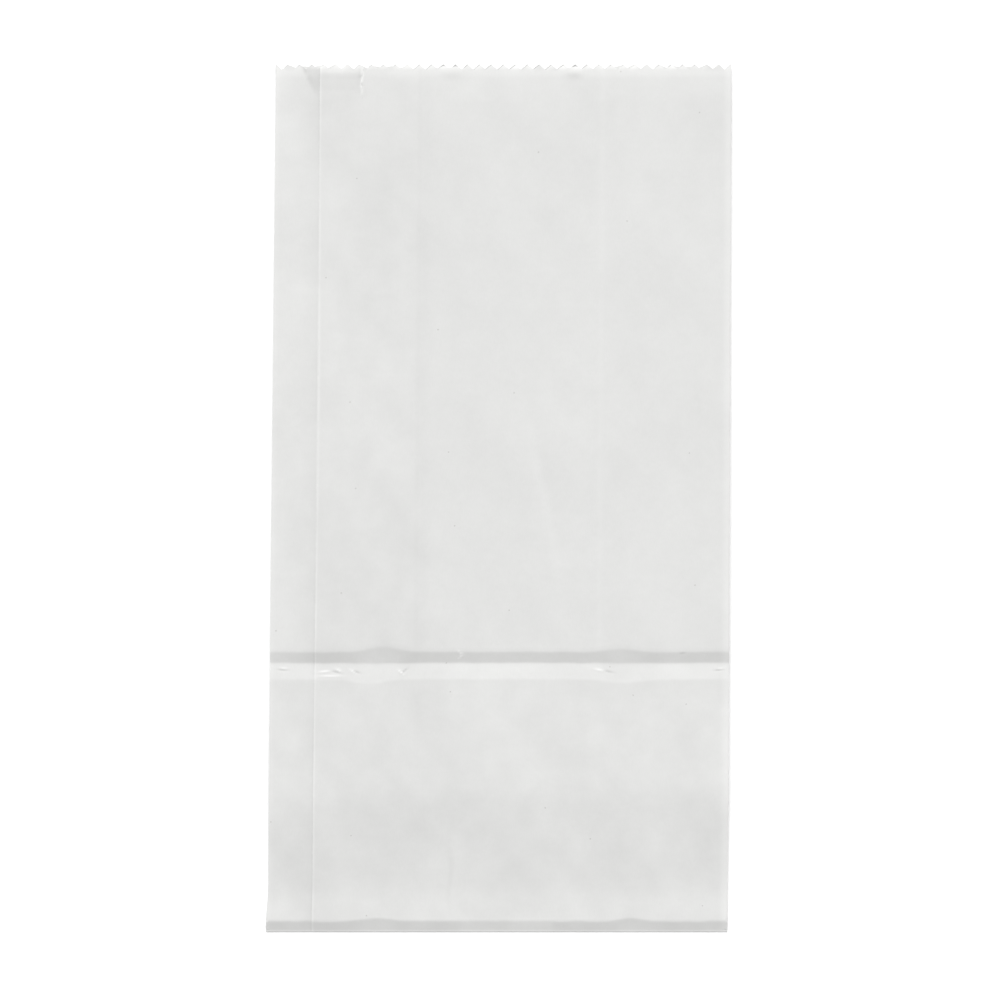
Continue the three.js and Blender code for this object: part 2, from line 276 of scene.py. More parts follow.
        # Painted highlight and shade on the two sides of the soft slanting crease
        streak_and_crease_shade += strength * (0.022 * bump(across, -1.6, 2.0) - 0.012 * bump(across, 2, 2.5))
        # Painted highlight on the nicks' ridges and painted shade in their dents
        nicks = 2 * self.small_creases(x, y)
        return (
            1 + self.seam_highlight_and_shade(x, y) + creases + self.torn_fibres_highlight_and_shade(x, y) + tooth_highlight + worn
            + self.mottling(x, y) + streak_and_crease_shade + nicks
        )

    def seam_highlight_and_shade(self, x, y):
        """A painted highlight along the cut edge, painted shade on the sheet beside it, a paler strip
        further left, and painted shade along the folded corner
        """
        down = LENGTH - y
        beside = x - self.seam_at(y)
        if beside > -0.05:
            # Painted highlight along the lifted cut edge
            seam = 0.10 * bump(beside, 0.1, 0.4)
        else:
            # Painted shade on the sheet beside the cut edge
            seam = -0.06 * math.exp(beside / 0.5) - 0.03 * math.exp(beside / 3)
        seam *= 0.85 + 0.5 * wave(0, y, 9, 2.4)
        if beside <= 0:
            fold = self.corner_fold(down)
            seam += 0.025 * step(-beside, 1, 13)
            # Painted shade along the folded corner near the mouth
            seam -= 0.10 * (1 - step(down, 0, 12)) * step(x, fold - 0.5, fold + 0.5)
        return seam

    def torn_fibres_highlight_and_shade(self, x, y):
        """The tear's right lip is pale with torn fibres and a painted highlight, and the sheet left of it
        has painted shade
        """
        down = LENGTH - y
        if down >= self.tear_length:
            return 0
        away = x - self.tear_at(y)
        # Pale fibres and a painted highlight on the right lip, painted shade on the sheet left of it
        torn = 0.16 * math.exp(-max(0, away) / 0.22) if away > -0.1 else -0.07 * math.exp(away / 1.6)
        return torn * step(-down, -self.tear_length, 1.5 - self.tear_length)

    def mottling(self, x, y):
        """Soft clouds, stronger over the bottom and at the left, and a darker place near the mouth"""
        clouds = 0.022 * wave(x * 0.8 + y * 0.5, (y - x * 0.6) * 0.5, 13, 5.5) + 0.018 * wave(x, y, 6, 1.9)
        clouds *= 1.7 - 0.7 * step(y, 75, 100) * step(x, -40, -15)
        clouds += 0.008 * step(x, -45, 60) - 0.018 * bump(x, -33, 13) * step(y, 200, 250)
        return clouds

    def tear_at(self, y):
        """The tear's ragged line"""
        return self.tear_x + 0.35 * wave(y, 0, 1.6, 4.9) + 0.5 * wave(y, 0, 5, 3.3)

    def seam_at(self, y):
        """The glued edge bows a little along its length"""
        return self.cut_edge + 0.55 * bump(y, 175, 70)

    def small_creases(self, x, y):
        """Short nicks, each a narrow ridge or dent along a slanting line"""
        total = 0
        for cx, cy, length, slope, height in NICKS:
            if abs(x - cx) < 3 * length and abs(y - cy) < 4:
                along = (x - cx) / length
                across = (y - cy - slope * (x - cx)) / NICK_WIDTH
                total += NICK_STRENGTH * height * math.exp(-along * along - across * across)
        return total

    def front(self, x, y):
        """The seam face"""
        # The roll behind the bottom crease ends at the knee, and is lower in its middle
        knee = 3.5 + 1.1 * bump(x, -39.8, 5) + 0.9 * bump(x, 44, 5) + 0.3 * wave(x, 0, 5, 2.7)
        along = y * self.roll_top / knee if y < knee else y
        z = rounded(self.line, along, 0.35 if y < 12 else self.softness)
        low_middle = step(x, -14, -11) * (1 - step(x, 17, 19)) - 0.5 * step(-x, 67, 69)
        z -= 0.17 * low_middle * min(1, y / knee) * (1 - step(y, 4, 11))
        calm = step(y, 1, 14)
        z += calm * (0.10 * wave(x, y, 70, 1.7) + 0.045 * wave(x, y, 24, 2.9))
        z += calm * 0.012 * wave(x * 1.3, y, 7, 6.1)
        slanting = 0.11 * wave(x * 0.8 + y * 0.5, (y - x * 0.6) * 0.45, 12, 7.3)
        slanting *= step(y, 12, 30)
        slanting *= 1 - 0.6 * bump(y, self.groove, 9)
        slanting *= step(-y, -LENGTH, 20 - LENGTH)
        z += slanting
        z += self.groove_at(x, y) + self.gusset_lines(x, y)
        strength, across = self.slanting_crease(x, y)
        z += 0.10 * strength * (step(across, -1.2, 1.2) - step(across, 1, 14))
        z += self.mouth_at(x, y) + self.small_creases(x, y)
        return z

    def bed(self, y):
        """Where the lowest ply of the tube lies: on the bottom's lips and flaps, then on the table"""
        return profile([(self.stack_end, 4.5 * self.paper), (self.thin_start, self.paper / 2)], y)

    def shared(self, pairs, x, y):
        """A ply at a share of the height from the bed to the seam face, from (y, share) pairs"""
        bed = self.bed(y)
        return bed + (self.plain_front(x, y) - bed) * profile(pairs, y)

    def plain_front(self, x, y):
        """The seam face without what only shows in its own surface"""
        z = rounded(self.line, y, self.softness)
        z += step(y, 1, 14) * 0.10 * wave(x, y, 70, 1.7)
        return z + self.groove_at(x, y)

    def gusset_front(self, x, y):
        """The gusset's half under the seam face"""
        shares = [
            (self.gusset - 12, 2 / 3), (self.gusset, 6 / 7),
            (self.stack_end, 6 / 7), (self.thin_start, 2 / 3),
        ]
        return self.shared(shares, x, y)

    def gusset_back(self, x, y):
        """The gusset's half over the back panel"""
        return self.shared([(self.stack_end, 5 / 7), (self.thin_start, 1 / 3)], x, y)

    def back(self, x, y):
        """The back panel, a little hollow in its body"""
        z = self.shared([(self.stack_end, 4 / 7), (self.thin_start, 0)], x, y)
        hollow = 0.16 * (0.5 + 0.5 * wave(x, y, 45, 9.4)) * step(y, self.depth + 14, self.depth + 40)
        return z + hollow * step(self.from_side(x), 0, 12) * (1 - step(y, LENGTH - 20, LENGTH))

    def back_crease(self, x):
        """The crease at which the bottom is folded under the back panel"""
        low = self.bed(0)
        return low + (self.plain_front(x, self.gusset) - low) * 3.5 / 7

    def returned(self, x, y):
        """The part of the back panel that is folded back under it"""
        low, closed = self.bed(0), 6 * self.paper
        stacked = low + (self.plain_front(x, min(y, self.stack_end)) - low) * 3 / 7
        near_end = self.depth - 1.5
        if y > near_end:
            return profile([(near_end, closed), (self.depth, 1.5 * self.paper)], y)
        return profile([(self.stack_end, stacked), (near_end, closed)], y)

    def tuck(self, x, y):
        """The triangle of the gusset that is folded in under the bottom"""
        if y <= self.gusset:
            return self.shared([(self.gusset - 12, 1 / 3), (self.gusset, 1 / 7)], x, y)
        return self.bed(0) + (self.returned(x, y) - self.bed(0)) / 3

    def corner(self, x, y):
        """The gusset's corner that lies over the tuck"""
        return self.bed(0) + (self.returned(x, y) - self.bed(0)) * 2 / 3

    def leaving(self, x, distance, height):
        """A height that starts from the back panel's crease"""
        share = min(1, max(0, distance / self.inner_reach))
        return self.back_crease(x) + (height - self.back_crease(x)) * share

    def crease(self, name, x, y):
        """(distance, reach, height) of a crease line near x, y"""
        side = self.from_side(x)
        up = y - self.gusset
        if name == "front_edge":
            front = self.plain_front(x, y) if y > self.parting else self.front(x, y)
            return side, self.edge_reach, 0.9 * front + 0.1 * self.gusset_front(x, y)
        if name == "back_edge":
            middle = (self.gusset_back(x, y) + self.back(x, y)) / 2
            return side, self.edge_reach, self.leaving(x, up, middle)
        if name == "return_edge":
            middle = (self.returned(x, y) + self.corner(x, y)) / 2
            return side, self.edge_reach, self.leaving(x, up, middle)
        if name == "tuck_edge":
            return side, self.edge_reach, 3.5 * self.paper
        if name == "inner":
            middle = (self.gusset_front(x, y) + self.gusset_back(x, y)) / 2
            distance = math.hypot(side - self.gusset, min(0, up))
            return distance, self.inner_reach, self.leaving(x, up, middle)
        if name == "lower_diagonal":
            middle = (self.tuck(x, min(y, self.gusset)) + self.gusset_front(x, min(y, self.gusset))) / 2
            return self.to_diagonal(side, y), self.inner_reach, middle
        if name == "upper_diagonal":
            middle = (self.tuck(x, y) + self.corner(x, y)) / 2
            return self.to_diagonal(side, self.depth - y), self.inner_reach, self.leaving(x, up, middle)
        setback = self.nested_crease if name == "back_fold" else 0
        return up - setback, self.inner_reach, self.back_crease(x)

    def to_diagonal(self, side, y):
        """Distance from a crease that runs at 45 degrees from a corner to the gusset's apex"""
        if side + y > 2 * self.gusset:
            return math.hypot(side - self.gusset, y - self.gusset)
        return abs(side - y) / math.sqrt(2)

    def meeting(self, own, names, x, y):
        """A panel's own height away from its creases, and a crease's on its line"""
        total, weight = own(x, y), 1
        for name in names:
            distance, reach, height = self.crease(name, x, y)
            if distance < 0.01:
                return height
            pull = max(0, reach / distance - 1)
            total += pull * height
            weight += pull
        return total / weight

    def saw(self, bm, shift=0, worn=True):
        """Moves the last rows before the mouth back to the saw cut"""
        half_pitch = self.pitch / 2
        for v in bm.verts:
            band = step(v.co.y, LENGTH - self.saw_band, LENGTH)
            corner = round((v.co.x + shift) / half_pitch) * half_pitch - shift
            if abs(v.co.x - corner) < self.saw_snap:
                v.co.x += band * (corner - v.co.x)
            tooth = abs((v.co.x + shift) / self.pitch % 1 * 2 - 1)
            depth = self.tooth * (1 - tooth) * (1 + 0.25 * wave(v.co.x, 0, 5, 7.7))
            if worn:
                flat = max(bump(v.co.x, middle, width) for middle, width in self.flat_teeth)
                depth = depth * (1 - 0.8 * flat) + 0.6 * flat
            v.co.y -= band * depth


# Nicks in and beside the pressed line: x, y, half length, slope and height
NICKS = [
    (-71.8, 85.9, 1.4, -0.1, -0.08), (-71.6, 86.4, 1.1, -0.1, 0.06), (-58.0, 85.4, 1.8, 0.1, 0.08),
    (-54.0, 85.2, 1.5, -0.25, -0.08), (-53.2, 85.8, 0.9, -0.6, 0.09), (-48.6, 85.6, 0.8, -0.6, 0.10),
    (-47.4, 85.3, 1.2, -0.4, -0.08), (-31.6, 85.6, 0.9, 0.9, -0.10), (-32.6, 85.2, 0.8, -0.9, 0.11),
    (-56.0, 83.9, 3.6, 0.0, 0.06), (33.4, 85.9, 1.6, -0.2, 0.08), (36.0, 85.4, 1.6, -0.25, -0.08),
    (72.5, 85.9, 1.2, 0.1, -0.09), (73.0, 86.3, 1.0, 0.1, 0.07), (-13.0, 90.4, 0.7, 1.0, 0.09),
    (-13.0, 91.6, 0.7, -1.0, 0.09), (75.6, 218.5, 0.6, 0.8, -0.10), (60.5, 91.4, 0.8, 0.15, -0.06),
]
NICK_WIDTH = 0.32
NICK_STRENGTH = 1.25

# The tube was cut a little out of square, so its sides lean by this much, and lying relaxed it is
# narrower than its creases say
LEAN = math.tan(math.radians(0.41))
RELAXED = 0.994
# The lower left corner stands out by this much
FLARE = 0.7


def place(bm, height, tone=None):
    """Gives each point of a flat panel its tone and height, and moves it to the frame"""
    # The tone carries the painted highlights and shade, along with the paper's own mottling
    shade = bm.verts.layers.float.new("tone")
    for v in bm.verts:
        x, y = v.co.x, v.co.y
        v[shade] = tone(x, y) if tone else 1
        along = y - LENGTH / 2
        flare = FLARE * step(-x, 55, 76) * (1 - step(y, 0, 16))
        v.co = Vector(((x * RELAXED - flare + LEAN * along) * MM, along * MM, height(x, y) * MM))


def rows(stops):
    """Number of rows from each (position, spacing) stop to the next"""
    return [max(1, round((b[0] - a[0]) / a[1])) for a, b in zip(stops, stops[1:])]


def spread(share, stops):
    """Position for a share from 0 to 1 of all the rows"""
    counts = rows(stops)
    at = share * sum(counts)
    for (start, _), (end, _), count in zip(stops, stops[1:], counts):
        if at <= count + 1e-6:
            return start + (end - start) * at / count
        at -= count
    return stops[-1][0]


def flat_panel(x_stops, y_stops):
    """A rectangular panel whose rows and columns are closer where it needs them"""
    bm = bmesh.new()
    bmesh.ops.create_grid(bm, x_segments=sum(rows(x_stops)), y_segments=sum(rows(y_stops)), size=0.5)
    for v in bm.verts:
        v.co.x, v.co.y = spread(v.co.x + 0.5, x_stops), spread(v.co.y + 0.5, y_stops)
    return bm


def trim(bm, point, away, cut=True):
    """Cuts off what lies beyond a slanting line, or only adds a row of edges there to bend at"""
    bmesh.ops.bisect_plane(
        bm, geom=bm.verts[:] + bm.edges[:] + bm.faces[:], dist=1e-4,
        plane_co=(*point, 0), plane_no=(*away, 0), clear_outer=cut,
    )


def lay(bm, fold, own, creases):
    """Places a panel at its own height, coming together with its neighbours at its creases"""
    place(bm, lambda x, y: fold.meeting(own, creases, x, y))


# The sheet's cut edges are sharper than this, and its folds softer
SHARP_ANGLE = math.radians(40)
# The teeth of the plies behind the seam face lie this much beside its own
BACK_SHIFT = 0.2


def joined(name, panels, paper, faces_up):
    """One object from several panels, one paper thick, with the paper's own material"""
    mesh = bpy.data.meshes.new(name)
    whole = bmesh.new()
    for bm, up in zip(panels, faces_up):
        if not up:
            bmesh.ops.reverse_faces(bm, faces=bm.faces)
        part = bpy.data.meshes.new("part")
        bm.to_mesh(part)
        bm.free()
        whole.from_mesh(part)
        bpy.data.meshes.remove(part)
    for face in whole.faces:
        face.smooth = True
    whole.to_mesh(mesh)
    whole.free()
    piece = bpy.data.objects.new(name, mesh)
    bpy.context.collection.objects.link(piece)
    thickness = piece.modifiers.new("Paper", "SOLIDIFY")
    thickness.thickness = paper * MM
    thickness.offset = 0
    thickness.use_even_offset = True
    thickness.use_rim = True
    with bpy.context.temp_override(object=piece, active_object=piece, selected_objects=[piece]):
        bpy.ops.object.modifier_apply(modifier=thickness.name)
    mesh.set_sharp_from_angle(angle=SHARP_ANGLE)
    mesh.materials.append(bpy.data.materials["White paper"])
    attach(piece, "root")
    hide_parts(BAG_NODE)
    return piece


class BAG_OT_paper(bpy.types.Operator):
    """Make the white paper's material"""

    bl_idname = "popcorn_bag.paper"
    bl_label = "Paper"

    def execute(self, context):
        look = context.scene.bag_look
        material = bpy.data.materials.new("White paper")
        material.use_nodes = True
        nodes, links = material.node_tree.nodes, material.node_tree.links
        shader = nodes["Principled BSDF"]
        shader.inputs["Roughness"].default_value = look.roughness
        shader.inputs["Specular IOR Level"].default_value = 0.35
        shader.inputs["Sheen Weight"].default_value = 0.04
        shader.inputs["Sheen Roughness"].default_value = 0.6

        coordinates = nodes.new("ShaderNodeTexCoord")
        # The tone attribute holds painted highlights and shade as well as the paper's mottling
        tone = nodes.new("ShaderNodeAttribute")
        tone.attribute_name = "tone"
        fibre = nodes.new("ShaderNodeGroup")
        fibre.node_tree = paper_fibre()
        fibre.inputs["Color"].default_value = look.paper_color
        fibre.inputs["Speck Color"].default_value = look.speck_color
        fibre.inputs["Roughness"].default_value = look.roughness
        relief = nodes.new("ShaderNodeBump")
        relief.inputs["Strength"].default_value = 0.35
        relief.inputs["Distance"].default_value = 0.03 * MM

        links.new(coordinates.outputs["Object"], fibre.inputs["Vector"])
        links.new(tone.outputs["Fac"], fibre.inputs["Tone"])
        links.new(fibre.outputs["Color"], shader.inputs["Base Color"])
        links.new(fibre.outputs["Roughness"], shader.inputs["Roughness"])
        links.new(fibre.outputs["Height"], relief.inputs["Height"])
        links.new(relief.outputs["Normal"], shader.inputs["Normal"])
        return {"FINISHED"}


# The values that most of a noise texture lies between
NOISE_LOW, NOISE_HIGH = 0.3, 0.7


def noise_node(nodes, links, vector, scale, detail=2.0, roughness=0.5):
    """A noise texture's value"""
    node = nodes.new("ShaderNodeTexNoise")
    node.inputs["Scale"].default_value = scale
    node.inputs["Detail"].default_value = detail
    node.inputs["Roughness"].default_value = roughness
    links.new(vector, node.inputs["Vector"])
    return node.outputs["Fac"]


def remap(nodes, links, value, to_low, to_high):
    """A noise value, taken to a new range"""
    node = nodes.new("ShaderNodeMapRange")
    for socket, number in zip(node.inputs[1:5], (NOISE_LOW, NOISE_HIGH, to_low, to_high)):
        socket.default_value = number
    links.new(value, node.inputs["Value"])
    return node.outputs["Result"]


def math_node(nodes, links, operation, first, second):
    """Two values or sockets, put together"""
    node = nodes.new("ShaderNodeMath")
    node.operation = operation
    for socket, value in zip(node.inputs, (first, second)):
        if isinstance(value, (int, float)):
            socket.default_value = value
        else:
            links.new(value, socket)
    return node.outputs["Value"]


def mixed(nodes, links, share, first, second, blend="MIX"):
    """Two colours, mixed by a share"""
    node = nodes.new("ShaderNodeMix")
    node.data_type = "RGBA"
    node.blend_type = blend
    sockets = [s for s in node.inputs if s.enabled]
    for socket, value in zip(sockets, (share, first, second)):
        if isinstance(value, (int, float, tuple)):
            socket.default_value = value
        else:
            links.new(value, socket)
    return next(s for s in node.outputs if s.enabled)


def paper_fibre():
    """Cloudy pulp, fine fibres and a few dark specks"""
    tree = bpy.data.node_groups.new("Paper fibre", "ShaderNodeTree")
    face = tree.interface
    face.new_socket("Vector", in_out="INPUT", socket_type="NodeSocketVector")
    face.new_socket("Color", in_out="INPUT", socket_type="NodeSocketColor")
    face.new_socket("Speck Color", in_out="INPUT", socket_type="NodeSocketColor")
    face.new_socket("Roughness", in_out="INPUT", socket_type="NodeSocketFloat")
    face.new_socket("Tone", in_out="INPUT", socket_type="NodeSocketFloat")
    face.new_socket("Color", in_out="OUTPUT", socket_type="NodeSocketColor")
    face.new_socket("Roughness", in_out="OUTPUT", socket_type="NodeSocketFloat")
    face.new_socket("Height", in_out="OUTPUT", socket_type="NodeSocketFloat")
    nodes, links = tree.nodes, tree.links
    given, out = nodes.new("NodeGroupInput"), nodes.new("NodeGroupOutput")
    vector = given.outputs["Vector"]

    clouds = noise_node(nodes, links, vector, scale=28, detail=3)
    flocks = noise_node(nodes, links, vector, scale=420, detail=3, roughness=0.6)
    stretch = nodes.new("ShaderNodeMapping")
    stretch.inputs["Scale"].default_value = (1, 0.28, 1)
    stretch.inputs["Rotation"].default_value = (0, 0, 0.5)
    links.new(vector, stretch.inputs["Vector"])
    fibres = noise_node(nodes, links, stretch.outputs["Vector"], scale=2600, detail=3, roughness=0.65)
    grain = noise_node(nodes, links, vector, scale=5200)

    speck_size, speck_share, speck_strength = 0.0085, 0.5, 0.35
    cells = nodes.new("ShaderNodeTexVoronoi")
    cells.voronoi_dimensions = "2D"
    cells.inputs["Scale"].default_value = 34
    links.new(vector, cells.inputs["Vector"])
    ragged = remap(nodes, links, grain, 0.6, 1.4)
    reach = math_node(nodes, links, "MULTIPLY", ragged, speck_size)
    spot = math_node(nodes, links, "LESS_THAN", cells.outputs["Distance"], reach)
    chosen = nodes.new("ShaderNodeSeparateColor")
    links.new(cells.outputs["Color"], chosen.inputs["Color"])
    kept = math_node(nodes, links, "LESS_THAN", chosen.outputs["Red"], speck_share)
    specks = math_node(nodes, links, "MULTIPLY", spot, kept)
    specks = math_node(nodes, links, "MULTIPLY", specks, speck_strength)

    cloud_shade = remap(nodes, links, clouds, 0.988, 1.006)
    flock_shade = remap(nodes, links, flocks, -0.010, 0.010)
    shade = math_node(nodes, links, "ADD", cloud_shade, flock_shade)
    shade = math_node(nodes, links, "ADD", shade, remap(nodes, links, fibres, -0.012, 0.010))
    # The tone brings in the painted highlights and shade
    shade = math_node(nodes, links, "MULTIPLY", shade, given.outputs["Tone"])
    grey = nodes.new("ShaderNodeCombineColor")
    for socket in grey.inputs:
        links.new(shade, socket)
    paper = mixed(nodes, links, 1.0, given.outputs["Color"], grey.outputs["Color"], "MULTIPLY")
    color = mixed(nodes, links, specks, paper, given.outputs["Speck Color"])
    links.new(color, out.inputs["Color"])

    flock_rough = remap(nodes, links, flocks, -0.05, 0.05)
    rough = math_node(nodes, links, "ADD", given.outputs["Roughness"], flock_rough)
    links.new(rough, out.inputs["Roughness"])
    fibre_height = math_node(nodes, links, "MULTIPLY", fibres, 0.7)
    flock_height = math_node(nodes, links, "MULTIPLY", flocks, 0.9)
    height = math_node(nodes, links, "ADD", fibre_height, flock_height)
    grain_height = math_node(nodes, links, "MULTIPLY", grain, 0.3)
    height = math_node(nodes, links, "ADD", height, grain_height)
    links.new(height, out.inputs["Height"])
    return tree


class BAG_OT_seam_face(bpy.types.Operator):
    """Make the panel that faces up, with the glued seam, the tear and the saw-cut mouth"""

    bl_idname = "popcorn_bag.seam_face"
    bl_label = "Seam face"

    def execute(self, context):
        sizes = context.scene.bag_sizes
        fold = FoldedSheet(sizes)
        half, groove = fold.half, fold.groove
        y_stops = [
            (0, 0.3), (4.8, 2.4), (groove - 7.5, 0.28), (groove + 6, 2.6), (LENGTH - 13, 0.6), (LENGTH, 1),
        ]
        tear, cut_edge = fold.tear_x, fold.cut_edge
        # The cut edge's bow pulls along the columns this near to it
        pulled = 2
        # The seam face ends this much short of the teeth behind it
        short = 0.3
        right = flat_panel(
            [(cut_edge, 0.4), (cut_edge + 0.8, 0.7), (tear - 0.2, 0.4), (tear + 0.2, 0.25),
             (tear + 0.7, 0.7), (half - 1.2, 0.3), (half, 1)], y_stops,
        )
        self.open_tear(right, fold)
        for v in right.verts:
            if v.co.x < cut_edge + pulled:
                v.co.x += (fold.seam_at(v.co.y) - cut_edge) * (cut_edge + pulled - v.co.x) / pulled
        left = flat_panel([(-half, 0.3), (-half + 1.2, 0.7), (cut_edge + fold.seam_lap, 1)], y_stops)

        def right_height(x, y):
            """The glued sheet, whose cut edge is lifted a little"""
            z = fold.meeting(fold.front, ["front_edge"], x, y)
            lift = 0.10 * math.exp(-(x - fold.seam_at(y)) / 0.8) * (0.6 + 0.4 * wave(0, y, 12, 2.2))
            return z + lift * step(y, 0, 8)

        def left_height(x, y):
            """The sheet under the glue, one paper lower from beside the cut edge"""
            edge = fold.seam_at(y)
            under = min(1, y / fold.parting) * 1.02 * fold.paper * step(x, edge - 2.5, edge - 0.6)
            return fold.meeting(fold.front, ["front_edge"], x, y) - under

        for bm, height in ((right, right_height), (left, left_height)):
            fold.saw(bm)
            for v in bm.verts:
                v.co.y -= short * step(v.co.y, LENGTH - 20, LENGTH)
            place(bm, height, fold.tone)
        joined("seam_face", [right, left], fold.paper, [True, True])
        return {"FINISHED"}

    def open_tear(self, bm, fold):
        """Parts the sheet along a ragged line whose right lip lies over its left one"""
        lap, strip, beside, start = 0.08, 0.15, 0.3, 0.5
        centres = [(face, face.calc_center_median()) for face in bm.faces]
        gone = [
            face for face, centre in centres
            if abs(centre.x - fold.tear_x) < strip and centre.y > fold.tear_end
        ]
        bmesh.ops.delete(bm, geom=gone, context="FACES")
        for v in bm.verts:
            if abs(v.co.x - fold.tear_x) < beside and v.co.y > fold.tear_end - start:
                side = math.copysign(1, v.co.x - fold.tear_x)
                v.co.x = fold.tear_at(v.co.y) - side * lap


class BAG_OT_back_panel(bpy.types.Operator):
    """Make the panel that faces down and the part of it folded back over the bottom"""

    bl_idname = "popcorn_bag.back_panel"
    bl_label = "Back panel"

    def execute(self, context):
        fold = FoldedSheet(context.scene.bag_sizes)
        half, gusset = fold.half, fold.gusset
        x_stops = [(-half, 0.7), (-half + 2.1, 2), (half - 2.1, 0.7), (half, 1)]
        low = gusset + fold.nested_crease
        panel = flat_panel(x_stops, [(low, 0.8), (low + 4, 1.6), (LENGTH - 14, 1), (LENGTH, 1)])
        fold.saw(panel, BACK_SHIFT, worn=False)

        def panel_height(x, y):
            """The back panel, whose teeth are lifted a little"""
            lifted = 0.3 * step(y, LENGTH - 3, LENGTH)
            return fold.meeting(fold.back, ["back_edge", "back_fold"], x, y) + lifted

        def panel_tone(x, y):
            """Its teeth are in the seam face's shade"""
            return 1 - 0.25 * step(y, LENGTH - 3.5, LENGTH - 1.5)

        place(panel, panel_height, panel_tone)
        flap = flat_panel(x_stops, [(low, 0.8), (low + 4, 1.6), (fold.depth - 9, 0.7), (fold.depth, 1)])
        lay(flap, fold, fold.returned, ["return_edge", "back_fold"])
        joined("back_panel", [panel, flap], fold.paper, [False, True])
        return {"FINISHED"}


class BAG_OT_gussets(bpy.types.Operator):
    """Make the tucked-in sides with their triangular folds over the bottom"""

    bl_idname = "popcorn_bag.gussets"
    bl_label = "Gussets"

    def execute(self, context):
        fold = FoldedSheet(context.scene.bag_sizes)
        half, gusset, inner, depth = fold.half, fold.gusset, fold.inner, fold.depth
        body = [(fold.groove - 8, 1), (fold.groove + 8, 2), (LENGTH - 14, 1), (LENGTH, 1)]
        end = depth - 1.5
        panels, faces_up = [], []
        for side in (1, -1):
            sides = [(inner, 1.2), (inner + 4.8, 2.2), (half - 2.1, 0.7), (half, 1)]
            if side < 0:
                sides = [(-half, 0.7), (-half + 2.1, 2.2), (-inner - 4.8, 1.2), (-inner, 1)]
            front = flat_panel(sides, [(0.8, 1), (4.8, 2), (gusset - 8, 1.2), (gusset + 6, 2), *body])
            trim(front, (side * half, 0), (side, 1), cut=False)
            trim(front, (side * half, 0), (-side, -1))
            fold.saw(front, BACK_SHIFT, worn=False)
            lay(front, fold, fold.gusset_front, ["front_edge", "inner", "lower_diagonal"])
            back = flat_panel(sides, [(gusset, 0.8), (gusset + 4, 2), *body])
            fold.saw(back, BACK_SHIFT, worn=False)
            lay(back, fold, fold.gusset_back, ["back_edge", "inner", "gusset_fold"])
            corner = flat_panel(sides, [(gusset, 0.8), (gusset + 4, 1.6), (end, 1)])
            trim(corner, (side * half, depth), (-side, 1))
            lay(corner, fold, fold.corner, ["return_edge", "upper_diagonal", "gusset_fold"])
            tuck = flat_panel(sides, [(1.5, 1.6), (gusset, 1.6), (end, 1)])
            trim(tuck, (side * half, 0), (-side, -1))
            trim(tuck, (side * half, depth), (-side, 1))
            lay(tuck, fold, fold.tuck, ["tuck_edge", "lower_diagonal", "upper_diagonal"])
            panels += [front, back, corner, tuck]
            faces_up += [False, True, True, False]
        joined("gussets", panels, fold.paper, faces_up)
        return {"FINISHED"}


class BAG_OT_bottom(bpy.types.Operator):
    """Make the two lips that close the bottom and the side flaps inside them"""

    bl_idname = "popcorn_bag.bottom"
    bl_label = "Bottom"

    def execute(self, context):
        fold = FoldedSheet(context.scene.bag_sizes)
        panels = [self.lip(fold, True), self.lip(fold, False), self.flap(fold, 1), self.flap(fold, -1)]
        joined("bottom", panels, fold.paper, [False, False, False, False])
        return {"FINISHED"}

    def lip(self, fold, outer):
        """One of the two lips, with sloping sides and a saw-cut edge"""
        half, lip = fold.half, fold.lip
        panel = flat_panel([(-half, 1), (half, 1)], [(0, 0.5), (2, 2), (lip - 6, 1), (lip, 1)])
        for side in (1, -1):
            trim(panel, (side * half, 0), (side, 1))
        shift = 0.6 if outer else 2.2
        for v in panel.verts:
            band = step(v.co.y, lip - 5, lip)
            tooth = abs((v.co.x + shift) / fold.pitch % 1 * 2 - 1)
            v.co.y -= band * fold.tooth * (1 - tooth)
            if not outer:
                v.co.y = fold.depth - v.co.y
        level, ripple, seed = (0.5, 0.4, 7.6) if outer else (1.5, 1, 6.6)

        def height(x, y):
            """The lips lie over each other, a little wavy away from their creases"""
            from_crease = y if outer else fold.depth - y
            wavy = 0.02 * (1 + wave(x, y, 18, seed)) * step(from_crease, 2, 12)
            start = 0.03 * (1 - step(y, 0, 0.5)) if outer else 0
            return level * fold.paper + wavy * ripple + start

        place(panel, height)
        return panel

    def flap(self, fold, side):
        """The flap at one side, between the lips and the tube"""
        inset, end = 0.05, 1.0
        low, high = sorted((side * fold.lip_end, side * (fold.half - inset)))
        panel = flat_panel([(low, 2), (high, 1)], [(end, 2), (fold.depth - end, 1)])
        place(panel, lambda x, y: 3.5 * fold.paper + 0.03 * wave(x, y, 20, 1.1))
        return panel


